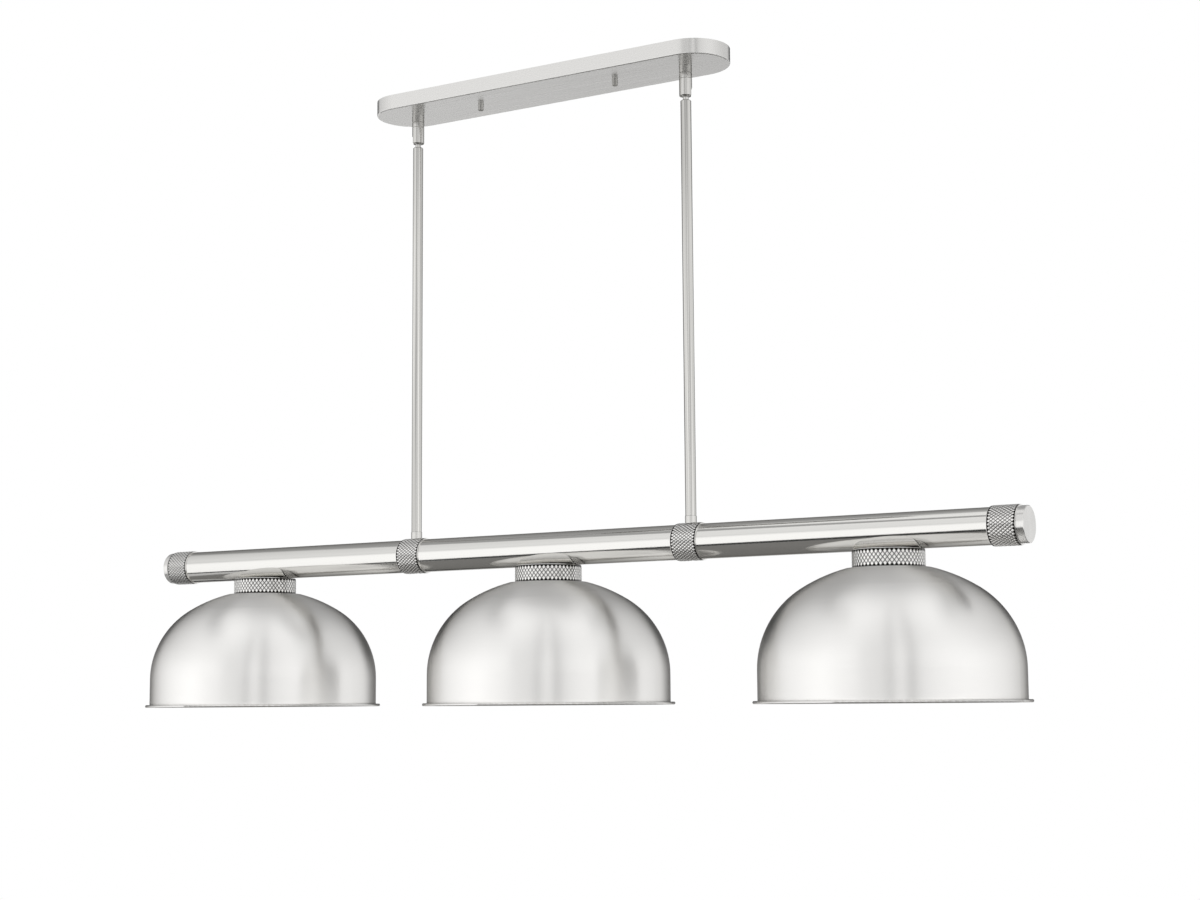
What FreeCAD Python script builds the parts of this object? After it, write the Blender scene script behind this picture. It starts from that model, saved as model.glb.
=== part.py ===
import FreeCAD, Part
import math
import os
import re
import Sketcher

# Billiard light: a long flat canopy, two rods on ball swivels, a horizontal tube with
# knurled collars, and three dome shades hung under round holders. Millimetres.
# The origin is on the ceiling, at the middle of the canopy: +X runs along the tube and
# +Z points up, so the whole light lies below z = 0.

os.makedirs("parts", exist_ok=True)
doc = FreeCAD.newDocument("BilliardLight")
sheet = doc.addObject("Spreadsheet::Sheet", "Sizes")
vector = FreeCAD.Vector

driving_sizes = [
    # canopy and what it hides
    ("canopy_length", 590.0, "over both round ends"),
    ("canopy_width", 106.0, "the round ends have half of it as radius"),
    ("canopy_depth", 22.0, "ceiling to underside"),
    ("canopy_wall", 1.2, "pressed steel sheet"),
    ("canopy_edge", 1.6, "outer radius between skirt and underside"),
    ("rod_spacing", 462.0, "rod centre to rod centre"),
    ("stud_spacing", 232.0, "stud centre to stud centre"),
    ("strap_end", 15.0, "mounting strap past its studs"),
    ("strap_width", 30.0, "mounting strap"),
    ("strap_thick", 2.4, "mounting strap"),
    ("strap_corner", 5.0, "corner radius of the strap"),
    ("box_slot_pitch", 79.4, "middles of the two junction box slots"),
    ("box_slot_width", 4.4, "clears a number 8 box screw"),
    ("box_slot_length", 14.0, "end to end, for both usual box spacings"),
    ("stud_od", 4.2, "threaded stud"),
    ("stud_reach", 7.2, "stud below the canopy"),
    ("stud_hole_gap", 0.4, "canopy hole round a stud, on the radius"),
    ("cap_nut_wall", 1.9, "cap nut round its stud"),
    ("cap_nut_room", 0.8, "blind thread past the stud's end"),
    ("cap_nut_roof", 1.2, "cap nut past its thread"),
    ("cap_nut_edge", 0.8, "chamfer at its lower end"),
    ("cap_nut_gap", 0.08, "running fit on the stud, on the radius"),
    ("cap_nut_line_share", 0.46, "turned line round it, down its height"),
    ("line_width", 0.7, "turned lines on cap nuts and barrels"),
    ("line_depth", 0.35, "turned lines, on the radius"),
    ("ground_screw_x", 60.0, "ground screw, from the middle"),
    ("ground_screw_od", 4.0, "shank"),
    ("ground_head_od", 8.0, "head"),
    ("ground_head_height", 2.4, "head"),
    # nipples, nuts and washers
    ("lead_od", 4.6, "sleeved pair of wires"),
    ("nipple_wire_gap", 0.9, "nipple's bore round a lead, on the radius"),
    ("nipple_wall", 1.8, "threaded nipple, 10 mm outside"),
    ("thread_gap", 0.05, "hole on thread, on the radius"),
    ("nut_wall", 2.0, "thin hexagon nut, from its thread to a flat"),
    ("nut_thick", 4.0, "thin hexagon nut"),
    ("nut_spare", 1.2, "thread that shows past a nut"),
    ("washer_rim", 4.0, "round and saddle washers, past the nipple"),
    ("washer_thick", 1.0, "round washer, or a saddle washer's thin edge"),
    # ball swivels
    ("barrel_wall", 2.3, "ring and barrel"),
    ("ring_height", 10.5, "fixed ring under the canopy"),
    ("ring_edge", 0.4, "small chamfers at the seam"),
    ("nipple_hold", 6.5, "thread of the canopy nipple inside the ring"),
    ("spigot_length", 8.0, "the ring's spigot in the barrel"),
    ("spigot_gap", 0.08, "running fit in the barrel, on the radius"),
    ("barrel_length", 32.4, "slotted barrel"),
    ("barrel_line_share", 0.238, "turned line round the barrel, down its length"),
    ("ball_gap", 0.2, "ball in its seat and bore, on the radius"),
    ("barrel_seam", 0.1, "running gap between ring and barrel"),
    ("ball_step", 2.5, "ball past its neck, on the radius"),
    ("ball_rise", 3.4, "ball centre above the barrel's lower face"),
    ("neck_wall", 1.2, "ball stud between ball and rod"),
    ("stud_wire_gap", 0.5, "ball stud's bore round a lead, on the radius"),
    ("stud_tail", 14.0, "threaded tail of the ball stud in the rod"),
    ("rod_gap", 6.4, "barrel's lower face to rod top"),
    ("slot_gap", 0.7, "side slot on each side of the neck, for a sloped ceiling"),
    ("slot_height", 12.0, "top of the slot above the barrel's lower face"),
    ("slot_turn_left", 211.0, "where the left slot points, degrees from +X"),
    ("slot_turn_right", 31.0, "where the right slot points, degrees from +X"),
    ("clip_thick", 0.8, "snap ring"),
    ("clip_depth", 0.9, "snap ring's groove in the spigot"),
    ("clip_reach", 0.55, "snap ring past the spigot"),
    ("clip_side_gap", 0.2, "snap ring to its groove in the barrel"),
    ("clip_drop", 4.0, "groove below the barrel's top face"),
    ("clip_mouth", 4.0, "opening of the snap ring"),
    ("stop_pin_od", 0.8, "stop pin under the ring"),
    ("stop_pin_length", 1.0, "stop pin"),
    ("stop_pin_gap", 0.15, "stop pin in the groove of the barrel's top face"),
    ("stop_land_angle", 20.0, "solid land left in the groove, degrees"),
    # rods and their feet
    ("rod_wall", 2.45, "straight rod, 15 mm outside"),
    ("rod_edge", 1.0, "chamfer at its top"),
    ("rod_hold", 12.0, "thread of the lower nipple in the rod"),
    ("ferrule_step", 0.5, "ferrule past the rod, on the radius"),
    ("ferrule_height", 9.3, "above the collar's crown"),
    # horizontal tube
    ("bar_drop", 690.0, "ceiling to the tube's axis"),
    ("bar_length", 1420.0, "over both end caps"),
    ("bar_od", 48.0, "horizontal tube"),
    ("bar_wall", 1.5, "horizontal tube"),
    ("collar_step", 2.25, "knurled collars past the tube, on the radius"),
    ("collar_gap", 0.05, "collar on tube, on the radius"),
    ("collar_edge", 0.8, "chamfer on the collars"),
    ("rod_collar_width", 39.0, "collar at a rod"),
    ("end_collar_width", 38.0, "collar at a tube end"),
    ("cap_length", 10.0, "end cap outside the tube"),
    ("cap_edge", 0.8, "chamfer round the end face"),
    ("cap_spigot", 14.0, "end cap inside the tube"),
    ("cap_wall", 3.0, "end cap"),
    # shade holders and shades
    ("bar_overhang", 190.0, "middle of an outer shade to the end of the tube's cap"),
    ("holder_od", 95.0, "knurled holder"),
    ("holder_height", 23.5, "tube's underside to the shade's flat top"),
    ("holder_lap", 0.6, "saddle cut into the holder's top"),
    ("holder_wall", 3.0, "holder's side"),
    ("holder_roof", 5.0, "holder's top plate"),
    ("holder_edge", 1.0, "chamfer round its top"),
    ("holder_foot", 0.6, "chamfer round its foot"),
    ("shade_height", 172.5, "rim to flat top"),
    ("shade_od", 343.0, "straight wall"),
    ("shade_wall", 1.0, "spun sheet"),
    ("seat_step", 8.5, "flat top past the holder, on the radius"),
    ("crown_more", 43.5, "radius of the dome's upper arc past the wall's radius"),
    ("shoulder_x", 48.5, "middle of the dome's lower arc, from the axis"),
    ("rim_reach", 6.5, "rolled rim past the wall"),
    ("bead_od", 4.0, "rolled rim"),
    ("flare_radius", 1.6, "hollow between wall and rim"),
    ("shade_hole_gap", 0.3, "shade hole round the nipple, on the radius"),
    ("clamp_washer_od", 40.0, "washer under the shade's top"),
    ("clamp_washer_thick", 2.0, "washer under the shade's top"),
    # sockets and bulbs
    ("husk_wall", 1.0, "metal cup round the socket"),
    ("husk_edge", 3.0, "chamfer round its top"),
    ("wiring_room", 8.0, "free height above the insulator"),
    ("insulator_recess", 1.0, "insulator set up from the cup's mouth"),
    ("insulator_wall", 6.9, "insulator round its bore"),
    ("insulator_roof", 12.0, "insulator above its bore"),
    ("socket_lip", 6.7, "insulator below the bulb's base"),
    ("shell_wall", 0.5, "screw shell"),
    ("base_gap", 0.4, "bulb's base in the shell, on the radius"),
    ("contact_od", 9.0, "centre contact"),
    ("contact_thick", 1.0, "centre contact"),
    ("contact_gap", 0.3, "bulb's tip below the contact"),
    ("bulb_length", 110.0, "tip to crown"),
    ("bulb_od", 60.0, "globe"),
    ("bulb_glass", 1.0, "globe's wall"),
    ("bulb_neck_step", 0.6, "base past the globe's neck, on the radius"),
    ("bulb_neck_show", 6.0, "straight neck below the base"),
    ("bulb_flank_angle", 30.0, "where the globe's arc meets the flank, degrees"),
    ("base_od", 26.4, "screw base"),
    ("base_length", 26.0, "tip to the base's lower edge"),
    ("base_hold", 6.0, "glass inside the base"),
    ("tip_od", 9.0, "solder tip"),
    ("tip_height", 2.0, "solder tip"),
    ("tip_cone", 3.0, "cone between tip and thread"),
    # wiring
    ("lead_offset", 8.0, "a passing lead beside the tube's axis"),
    ("lead_shift", 70.0, "length over which a lead moves aside"),
    ("lead_pair_offset", 3.0, "two leads side by side at the splice"),
    ("lead_split", 0.5, "lead end to lead end above the ball"),
    ("splice_offset", 27.0, "splice beside the left rod"),
    ("splice_length", 24.0, "splice"),
    ("splice_od", 12.0, "splice"),
    ("wire_od", 2.0, "single wire in the canopy"),
    ("wire_bend", 4.5, "its bends"),
    ("wire_pair_offset", 1.1, "wire beside the nipple's axis"),
    ("wire_rise", 6.6, "wires above the nipple"),
    ("wire_run_in", 1.7, "ground wire straight down from its screw"),
    ("connector_length", 20.0, "wire connector"),
    ("connector_mouth", 11.0, "its open end"),
    ("connector_tip", 7.0, "its closed end"),
    ("connector_x", 80.0, "open ends of the line and neutral connectors"),
    ("connector_y", 9.0, "line and neutral connectors beside the middle"),
    ("ground_reach", 20.0, "ground screw to its connector"),
    ("overrun", 5.0, "cutting tools past a face"),
]

derived_sizes = [
    # from the lead outwards: each bore clears what goes through it
    ("nipple_bore", "lead_od + 2 * nipple_wire_gap"),
    ("nipple_od", "nipple_bore + 2 * nipple_wall"),
    ("hole_radius", "nipple_od / 2 + thread_gap"),
    ("nut_flats", "nipple_od + 2 * nut_wall"),
    ("nut_corner", "nut_flats / 2 / cos(30)"),
    ("washer_od", "nipple_od + 2 * washer_rim"),
    ("stud_bore", "lead_od + 2 * stud_wire_gap"),
    ("neck_od", "stud_bore + 2 * neck_wall"),
    ("ball_od", "neck_od + 2 * ball_step"),
    ("barrel_bore", "ball_od + 2 * ball_gap"),
    ("swivel_od", "barrel_bore + 2 * barrel_wall"),
    ("slot_width", "neck_od + 2 * slot_gap"),
    ("spigot_radius", "barrel_bore / 2 - spigot_gap"),
    ("stop_circle", "barrel_bore + barrel_wall"),
    ("stop_groove_width", "stop_pin_od + 2 * stop_pin_gap"),
    ("stop_groove_depth", "stop_pin_length + 2 * stop_pin_gap"),
    ("rod_od", "2 * hole_radius + 2 * rod_wall"),
    ("ferrule_od", "rod_od + 2 * ferrule_step"),
    ("strap_length", "stud_spacing + 2 * strap_end"),
    ("cap_nut_od", "stud_od + 2 * cap_nut_wall"),
    ("cap_nut_depth", "stud_reach + cap_nut_room"),
    ("cap_nut_height", "cap_nut_depth + cap_nut_roof"),
    ("collar_od", "bar_od + 2 * collar_step"),
    ("shade_spacing", "bar_length / 2 - bar_overhang"),
    # socket and bulb: the cup holds the insulator, and its bore the shell and the base
    ("socket_bore", "base_od + 2 * base_gap + 2 * shell_wall"),
    ("socket_depth", "contact_thick + contact_gap + base_length + socket_lip"),
    ("shell_length", "base_length - 2 * contact_thick"),
    ("husk_od", "socket_bore + 2 * insulator_wall + 2 * husk_wall"),
    ("husk_length", "husk_wall + wiring_room + insulator_roof + socket_depth + insulator_recess"),
    ("bulb_neck_od", "base_od - 2 * bulb_neck_step"),
    ("bulb_neck_start", "base_length + bulb_neck_show"),
    # levels and places
    ("canopy_under", "-canopy_depth"),
    ("canopy_inner", "canopy_wall - canopy_depth"),
    ("barrel_top", "canopy_under - ring_height"),
    ("barrel_low", "barrel_top - barrel_length"),
    ("ball_level", "barrel_low + ball_rise"),
    ("rod_top", "barrel_low - rod_gap"),
    ("bar_axis", "-bar_drop"),
    ("bar_inner", "bar_od / 2 - bar_wall"),
    ("tube_end", "bar_length / 2 - cap_length"),
    ("rod_low", "bar_axis + collar_od / 2 + ferrule_height"),
    ("rod_x", "rod_spacing / 2"),
    ("stud_x", "stud_spacing / 2"),
    ("saddle_face", "sqrt(bar_inner ^ 2 - (washer_od / 2) ^ 2) - washer_thick"),
    ("nipple_end", "saddle_face - nut_thick - nut_spare"),
    ("lead_bend", "nipple_end"),
    ("seat_top", "bar_axis - bar_od / 2 - holder_height"),
    ("husk_top", "seat_top - shade_wall - clamp_washer_thick - nut_thick"),
    ("insulator_top", "husk_top - husk_wall - wiring_room"),
    ("insulator_low", "husk_top - husk_length + insulator_recess"),
    ("socket_roof", "insulator_low + socket_depth"),
    ("bulb_top", "socket_roof - contact_thick - contact_gap"),
    ("canopy_nipple_top", "canopy_inner + washer_thick + nut_thick + nut_spare"),
    ("wire_top", "canopy_nipple_top + wire_rise"),
    ("wire_level", "strap_thick + ground_head_height + wire_bend + wire_run_in"),
    ("splice_left", "splice_offset - rod_x"),
    ("splice_right", "splice_left + splice_length"),
    # dome: wall and shoulder arc meet at wall_top, shoulder and crown arcs at the haunch
    ("shade_seat_od", "holder_od + 2 * seat_step"),
    ("rim_od", "shade_od + 2 * rim_reach"),
    ("crown_radius", "shade_od / 2 + crown_more"),
    ("shoulder_radius", "shade_od / 2 - shoulder_x"),
    ("crown_fall", "sqrt((crown_radius - shoulder_radius) ^ 2 - shoulder_x ^ 2)"),
    ("wall_top", "shade_height - sqrt(crown_radius ^ 2 - (shade_seat_od / 2) ^ 2) + crown_fall"),
    ("haunch_x", "shoulder_x * crown_radius / (crown_radius - shoulder_radius)"),
    ("haunch_z", "wall_top - crown_fall + crown_fall * crown_radius / (crown_radius - shoulder_radius)"),
    ("inner_crown", "crown_radius - shade_wall"),
    ("inner_haunch_x", "shoulder_x * inner_crown / (crown_radius - shoulder_radius)"),
    ("inner_haunch_z", "wall_top - crown_fall + crown_fall * inner_crown / (crown_radius - shoulder_radius)"),
    ("inner_seat_x", "sqrt(inner_crown ^ 2 - (shade_height - shade_wall - wall_top + crown_fall) ^ 2)"),
    ("bead_x", "rim_od / 2 - bead_od / 2"),
    ("bead_root", "bead_x - sqrt((bead_od / 2) ^ 2 - (shade_wall / 2) ^ 2)"),
    ("flange_top", "bead_od / 2 + shade_wall / 2"),
    ("flange_low", "bead_od / 2 - shade_wall / 2"),
    # bulb: the flank is an arc that leaves the globe's arc smoothly and ends at the neck
    ("globe_level", "bulb_od / 2 - bulb_length"),
    ("flank_x", "bulb_od / 2 * cos(bulb_flank_angle) - bulb_neck_od / 2"),
    ("flank_z", "globe_level + bulb_od / 2 * sin(bulb_flank_angle) + bulb_neck_start"),
    ("flank_lean", "flank_x * cos(bulb_flank_angle) + flank_z * sin(bulb_flank_angle)"),
    ("flank_radius", "-(flank_x ^ 2 + flank_z ^ 2) / (2 * flank_lean)"),
    ("flank_centre_x", "(bulb_od / 2 + flank_radius) * cos(bulb_flank_angle)"),
    ("flank_centre_z", "globe_level + (bulb_od / 2 + flank_radius) * sin(bulb_flank_angle)"),
    ("flank_inner_z", "flank_centre_z - sqrt((flank_radius + bulb_glass) ^ 2"
                      " - (flank_centre_x - bulb_neck_od / 2 + bulb_glass) ^ 2)"),
]


def fill_sheet():
    row = 0
    for name, value, note in driving_sizes:
        row += 1
        sheet.set(f"A{row}", name)
        sheet.set(f"B{row}", str(value))
        sheet.set(f"C{row}", note)
        sheet.setAlias(f"B{row}", name)
    for name, formula in derived_sizes:
        row += 1
        sheet.set(f"A{row}", name)
        sheet.set(f"B{row}", "=" + angles(formula))
        sheet.setAlias(f"B{row}", name)
    doc.recompute()


def angles(text):
    # plain numbers inside sin and cos are degrees
    return re.sub(r"\b(sin|cos)\((\w+)\)", r"\1(\2 * 1 deg)", text)


def cells(text):
    # a sum of cell names, pointed at the sheet
    return re.sub(r"\b(?!(?:sqrt|sin|cos|deg)\b)([a-z]\w*)", r"Sizes.\1", angles(text))


def size(text):
    # the present value of a sum of cell names
    return float(sheet.evalExpression(angles(text)))


def bind(item, **sums):
    for prop, text in sums.items():
        item.setExpression(prop, cells(text))
    return item


def place(item, x="0", y="0", z="0"):
    for letter, text in (("x", x), ("y", y), ("z", z)):
        if text != "0":
            item.setExpression("Placement.Base." + letter, cells(text))
    return item


nodes = []


def keep(item, label):
    # a finished sub-part: its label is the name of its file
    item.Label = label
    nodes.append(item)
    return item


def new_body(name):
    return doc.addObject("PartDesign::Body", name + "_body")


def new_sketch(body, name, plane, offset=None):
    sketch = body.newObject("Sketcher::SketchObject", name)
    base = [item for item in body.Origin.OriginFeatures if item.Role == plane][0]
    sketch.AttachmentSupport = (base, [""])
    sketch.MapMode = "FlatFace"
    if offset:
        sketch.setExpression("AttachmentOffset.Base.z", cells(offset))
    return sketch


def fix_point(sketch, index, corner, x, y):
    for kind, text in (("DistanceX", x), ("DistanceY", y)):
        rule = Sketcher.Constraint(kind, -1, 1, index, corner, size(text))
        number = sketch.addConstraint(rule)
        if text != "0":
            sketch.setExpression(f"Constraints[{number}]", cells(text))


def arc_between(start, end, radius, turn):
    # turn is 1 for a counter-clockwise way from start to end, and -1 for a clockwise one
    half = (end - start) * 0.5
    rise = math.sqrt(max(radius ** 2 - half.Length ** 2, 0.0))
    across = vector(-half.y, half.x, 0).normalize()
    centre = start + half + across * rise * turn
    first, last = (start, end) if turn > 0 else (end, start)
    low = math.atan2(first.y - centre.y, first.x - centre.x)
    high = math.atan2(last.y - centre.y, last.x - centre.x)
    return Part.ArcOfCircle(Part.Circle(centre, vector(0, 0, 1), radius), low, high)


def outline(sketch, corners):
    # closed outline: each corner is (x, y), or (x, y, radius, turn) where an arc ends in it
    places = [vector(size(corner[0]), size(corner[1]), 0) for corner in corners]
    ends = []
    for number, corner in enumerate(corners):
        start, end = places[number - 1], places[number]
        if len(corner) == 2:
            index = sketch.addGeometry(Part.LineSegment(start, end), False)
            ends.append((index, 1, 2))
            continue
        radius, turn = corner[2], corner[3]
        index = sketch.addGeometry(arc_between(start, end, size(radius), turn), False)
        ends.append((index, 1, 2) if turn > 0 else (index, 2, 1))
        rule = sketch.addConstraint(Sketcher.Constraint("Radius", index, size(radius)))
        sketch.setExpression(f"Constraints[{rule}]", cells(radius))
    for number, (index, first, last) in enumerate(ends):
        after = ends[(number + 1) % len(ends)]
        sketch.addConstraint(Sketcher.Constraint("Coincident", index, last, after[0], after[1]))
        fix_point(sketch, index, last, corners[number][0], corners[number][1])
    return sketch


def circles(sketch, places, radius):
    for x, y in places:
        middle = vector(size(x), size(y), 0)
        index = sketch.addGeometry(Part.Circle(middle, vector(0, 0, 1), size(radius)), False)
        rule = sketch.addConstraint(Sketcher.Constraint("Radius", index, size(radius)))
        sketch.setExpression(f"Constraints[{rule}]", cells(radius))
        fix_point(sketch, index, 3, x, y)
    return sketch


def turn_profile(body, name, corners, axis="V_Axis"):
    # V_Axis turns (radius, height) about the upright, H_Axis (length, radius) about the tube
    sketch = outline(new_sketch(body, name + "_profile", "XZ_Plane"), corners)
    made = body.newObject("PartDesign::Revolution", name + "_turned")
    made.Profile = sketch
    made.ReferenceAxis = (sketch, [axis])
    made.Angle = 360
    doc.recompute()
    return made


def turned(name, corners, axis="V_Axis"):
    body = new_body(name)
    turn_profile(body, name, corners, axis)
    return body


def pad(body, sketch, length, forward=True, middle=False):
    made = body.newObject("PartDesign::Pad", sketch.Name + "_pad")
    made.Profile = sketch
    made.Reversed = not forward
    made.Midplane = middle
    made.setExpression("Length", cells(length))
    doc.recompute()
    return made


def pocket(body, sketch, length, forward=False, middle=False):
    # forward cuts along the sketch's normal
    before = body.Shape.Volume
    made = body.newObject("PartDesign::Pocket", sketch.Name + "_pocket")
    made.Profile = sketch
    made.Reversed = forward
    made.Midplane = middle
    made.setExpression("Length", cells(length))
    doc.recompute()
    if body.Shape.Volume >= before:
        raise ValueError(made.Name + " cuts nothing")
    return made


def cylinder(name, radius, height, x="0", y="0", z="0"):
    made = doc.addObject("Part::Cylinder", name)
    bind(made, Radius=radius, Height=height)
    return place(made, x, y, z)


def lying_cylinder(name, radius, length, y="0", z="0"):
    # along X, centred on x = 0
    made = doc.addObject("Part::Cylinder", name)
    bind(made, Radius=radius, Height=length)
    made.Placement.Rotation = FreeCAD.Rotation(vector(0, 1, 0), 90)
    return place(made, f"-({length}) / 2", y, z)


def cut(name, base, tool):
    made = doc.addObject("Part::Cut", name)
    made.Base = base
    made.Tool = tool
    return made


def group(label, items):
    made = doc.addObject("Part::Compound", label + "_group")
    made.Links = items
    return keep(made, label)


def tube(name, outer, inner, height, x="0", y="0", z="0"):
    wall = cylinder(name + "_wall", outer, height)
    bore = cylinder(name + "_bore", inner, f"{height} + 2 * overrun", z="-overrun")
    return place(cut(name, wall, bore), x, y, z)


def hex_nut(name, x="0", y="0", z="0"):
    # its lower face is at z
    prism = doc.addObject("Part::Prism", name + "_hexagon")
    prism.Polygon = 6
    bind(prism, Circumradius="nut_corner", Height="nut_thick")
    bore = cylinder(name + "_bore", "hole_radius", "nut_thick + 2 * overrun", z="-overrun")
    return place(cut(name, prism, bore), x, y, z)


def saddle_washer(name, x, above):
    # lies in the tube, flat towards its axis: above the axis at a rod, below it at a holder
    height = "bar_inner - saddle_face"
    low = "bar_axis + saddle_face" if above else "bar_axis - bar_inner"
    disc = tube(name + "_disc", "washer_od / 2", "hole_radius", height, x=x, z=low)
    inside = lying_cylinder(name + "_inside", "bar_inner", "bar_length", z="bar_axis")
    made = doc.addObject("Part::Common", name)
    made.Base = disc
    made.Tool = inside
    return made


def stadium(length, width):
    # two straight sides and two round ends of two quarter arcs each
    end = f"({length} - {width}) / 2"
    far = f"({length}) / 2"
    side = f"({width}) / 2"
    return [
        (f"-({end})", f"-{side}", side, 1), (end, f"-{side}"),
        (far, "0", side, 1), (end, side, side, 1),
        (f"-({end})", side), (f"-({far})", "0", side, 1),
    ]


def make_strap():
    body = new_body("strap")
    plate = new_sketch(body, "strap_plate", "XY_Plane")
    far, side = "strap_length / 2", "strap_width / 2"
    near, inset = "strap_length / 2 - strap_corner", "strap_width / 2 - strap_corner"
    corners = [
        (f"-({near})", f"-{side}", "strap_corner", 1), (near, f"-{side}"),
        (far, f"-({inset})", "strap_corner", 1), (far, inset),
        (near, side, "strap_corner", 1), (f"-({near})", side),
        (f"-({far})", inset, "strap_corner", 1), (f"-({far})", f"-({inset})"),
    ]
    pad(body, outline(plate, corners), "strap_thick", forward=False)
    for label, sign in (("left", "-"), ("right", "")):
        slot = new_sketch(body, "box_slot_" + label, "XY_Plane")
        middle = f"{sign}box_slot_pitch / 2"
        moved = [(f"{middle} + {c[0]}",) + c[1:] for c in stadium("box_slot_length", "box_slot_width")]
        pocket(body, outline(slot, moved), "strap_thick + overrun")
    places = [("-stud_x", "0"), ("stud_x", "0")]
    studs = circles(new_sketch(body, "stud_holes", "XY_Plane"), places, "stud_od / 2")
    pocket(body, studs, "strap_thick + overrun")
    screw = circles(new_sketch(body, "ground_hole", "XY_Plane"), [("ground_screw_x", "0")],
                    "ground_screw_od / 2")
    pocket(body, screw, "strap_thick + overrun")
    keep(body, "mounting_strap")


def make_studs():
    length = "canopy_depth + stud_reach"
    items = [cylinder("stud_left", "stud_od / 2", length, x="-stud_x", z=f"-({length})"),
             cylinder("stud_right", "stud_od / 2", length, x="stud_x", z=f"-({length})")]
    group("strap_studs", items)


def make_ground_screw():
    # pan head under the strap, shank through it
    screw = turned("ground_screw", [
        ("0", "0"), ("0", "-strap_thick - ground_head_height"),
        ("ground_head_od / 2 - ground_head_height / 4", "-strap_thick - ground_head_height"),
        ("ground_head_od / 2", "-strap_thick - ground_head_height * 3 / 4"),
        ("ground_head_od / 2", "-strap_thick"), ("ground_screw_od / 2", "-strap_thick"),
        ("ground_screw_od / 2", "0"),
    ])
    keep(place(screw, x="ground_screw_x"), "ground_screw")


def make_canopy():
    body = new_body("canopy")
    outer = outline(new_sketch(body, "canopy_outer", "XY_Plane"), stadium("canopy_length", "canopy_width"))
    block = pad(body, outer, "canopy_depth", forward=False)
    level = size("canopy_under")
    names = []
    for number, edge in enumerate(block.Shape.Edges):
        if max(abs(point.Point.z - level) for point in edge.Vertexes) < 1e-6:
            names.append(f"Edge{number + 1}")
    fillet = body.newObject("PartDesign::Fillet", "canopy_lower_edge")
    fillet.Base = (block, names)
    bind(fillet, Radius="canopy_edge")
    doc.recompute()
    inner = stadium("canopy_length - 2 * canopy_wall", "canopy_width - 2 * canopy_wall")
    hollow = outline(new_sketch(body, "canopy_hollow", "XY_Plane"), inner)
    pocket(body, hollow, "canopy_depth - canopy_wall")
    studs = circles(new_sketch(body, "canopy_stud_holes", "XY_Plane"),
                    [("-stud_x", "0"), ("stud_x", "0")], "stud_od / 2 + stud_hole_gap")
    pocket(body, studs, "canopy_depth + overrun")
    rods = circles(new_sketch(body, "canopy_nipple_holes", "XY_Plane"),
                   [("-rod_x", "0"), ("rod_x", "0")], "hole_radius")
    pocket(body, rods, "canopy_depth + overrun")
    keep(body, "canopy")


def make_canopy_fixings():
    nipples, washers, nuts = [], [], []
    for side, x in (("left", "-rod_x"), ("right", "rod_x")):
        length = "canopy_nipple_top - canopy_under + nipple_hold"
        nipples.append(tube("canopy_nipple_" + side, "nipple_od / 2", "nipple_bore / 2", length,
                            x=x, z="canopy_under - nipple_hold"))
        washers.append(tube("canopy_washer_" + side, "washer_od / 2", "hole_radius", "washer_thick",
                            x=x, z="canopy_inner"))
        nuts.append(hex_nut("canopy_nut_" + side, x=x, z="canopy_inner + washer_thick"))
    group("canopy_nipples", nipples)
    group("canopy_washers", washers)
    group("canopy_nuts", nuts)


def make_cap_nut(side, x):
    line = "-cap_nut_height * cap_nut_line_share"
    nut = turned("cap_nut_" + side, [
        ("stud_od / 2 + cap_nut_gap", "0"), ("cap_nut_od / 2", "0"),
        ("cap_nut_od / 2", line + " + line_width / 2"), ("cap_nut_od / 2 - line_depth", line),
        ("cap_nut_od / 2", line + " - line_width / 2"), ("cap_nut_od / 2", "cap_nut_edge - cap_nut_height"),
        ("cap_nut_od / 2 - cap_nut_edge", "-cap_nut_height"), ("0", "-cap_nut_height"),
        ("0", "-cap_nut_depth"), ("stud_od / 2 + cap_nut_gap", "-cap_nut_depth"),
    ])
    keep(place(nut, x=x, z="canopy_under"), "cap_nut_" + side)


def make_swivel_ring(side, x, turn):
    # ring against the canopy, spigot down into the barrel, stop pin beside the spigot
    body = new_body("swivel_ring_" + side)
    groove = "spigot_radius - clip_depth"
    clip_top = "-ring_height - clip_drop"
    low = "-ring_height - spigot_length"
    turn_profile(body, "swivel_ring_" + side, [
        ("hole_radius", "0"), ("swivel_od / 2", "0"), ("swivel_od / 2", "barrel_seam + ring_edge - ring_height"),
        ("swivel_od / 2 - ring_edge", "barrel_seam - ring_height"),
        ("spigot_radius", "barrel_seam - ring_height"),
        ("spigot_radius", clip_top), (groove, clip_top), (groove, clip_top + " - clip_thick"),
        ("spigot_radius", clip_top + " - clip_thick"), ("spigot_radius", low + " + ring_edge"),
        ("spigot_radius - ring_edge", low), ("nipple_bore / 2", low),
        ("nipple_bore / 2", "-nipple_hold"), ("hole_radius", "-nipple_hold"),
    ])
    pin = circles(new_sketch(body, "stop_pin_" + side, "XY_Plane", "barrel_seam - ring_height"),
                  [("stop_circle / 2", "0")], "stop_pin_od / 2")
    pad(body, pin, "stop_pin_length", forward=False)
    body.Placement.Rotation = FreeCAD.Rotation(vector(0, 0, 1), size(turn))
    body.setExpression("Placement.Rotation.Angle", cells(turn))
    keep(place(body, x=x, z="canopy_under"), "swivel_ring_" + side)


def make_clips():
    items = []
    for side, x, turn in swivels:
        disc = tube("clip_ring_" + side, "spigot_radius + clip_reach", "spigot_radius - clip_depth",
                    "clip_thick")
        mouth = doc.addObject("Part::Box", "clip_mouth_" + side)
        bind(mouth, Length="swivel_od", Width="clip_mouth", Height="clip_thick + 2 * overrun")
        place(mouth, y="-clip_mouth / 2", z="-overrun")
        items.append(place(cut("swivel_clip_" + side, disc, mouth), x=x,
                           z="barrel_top - clip_drop - clip_thick"))
    group("swivel_clips", items)


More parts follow.
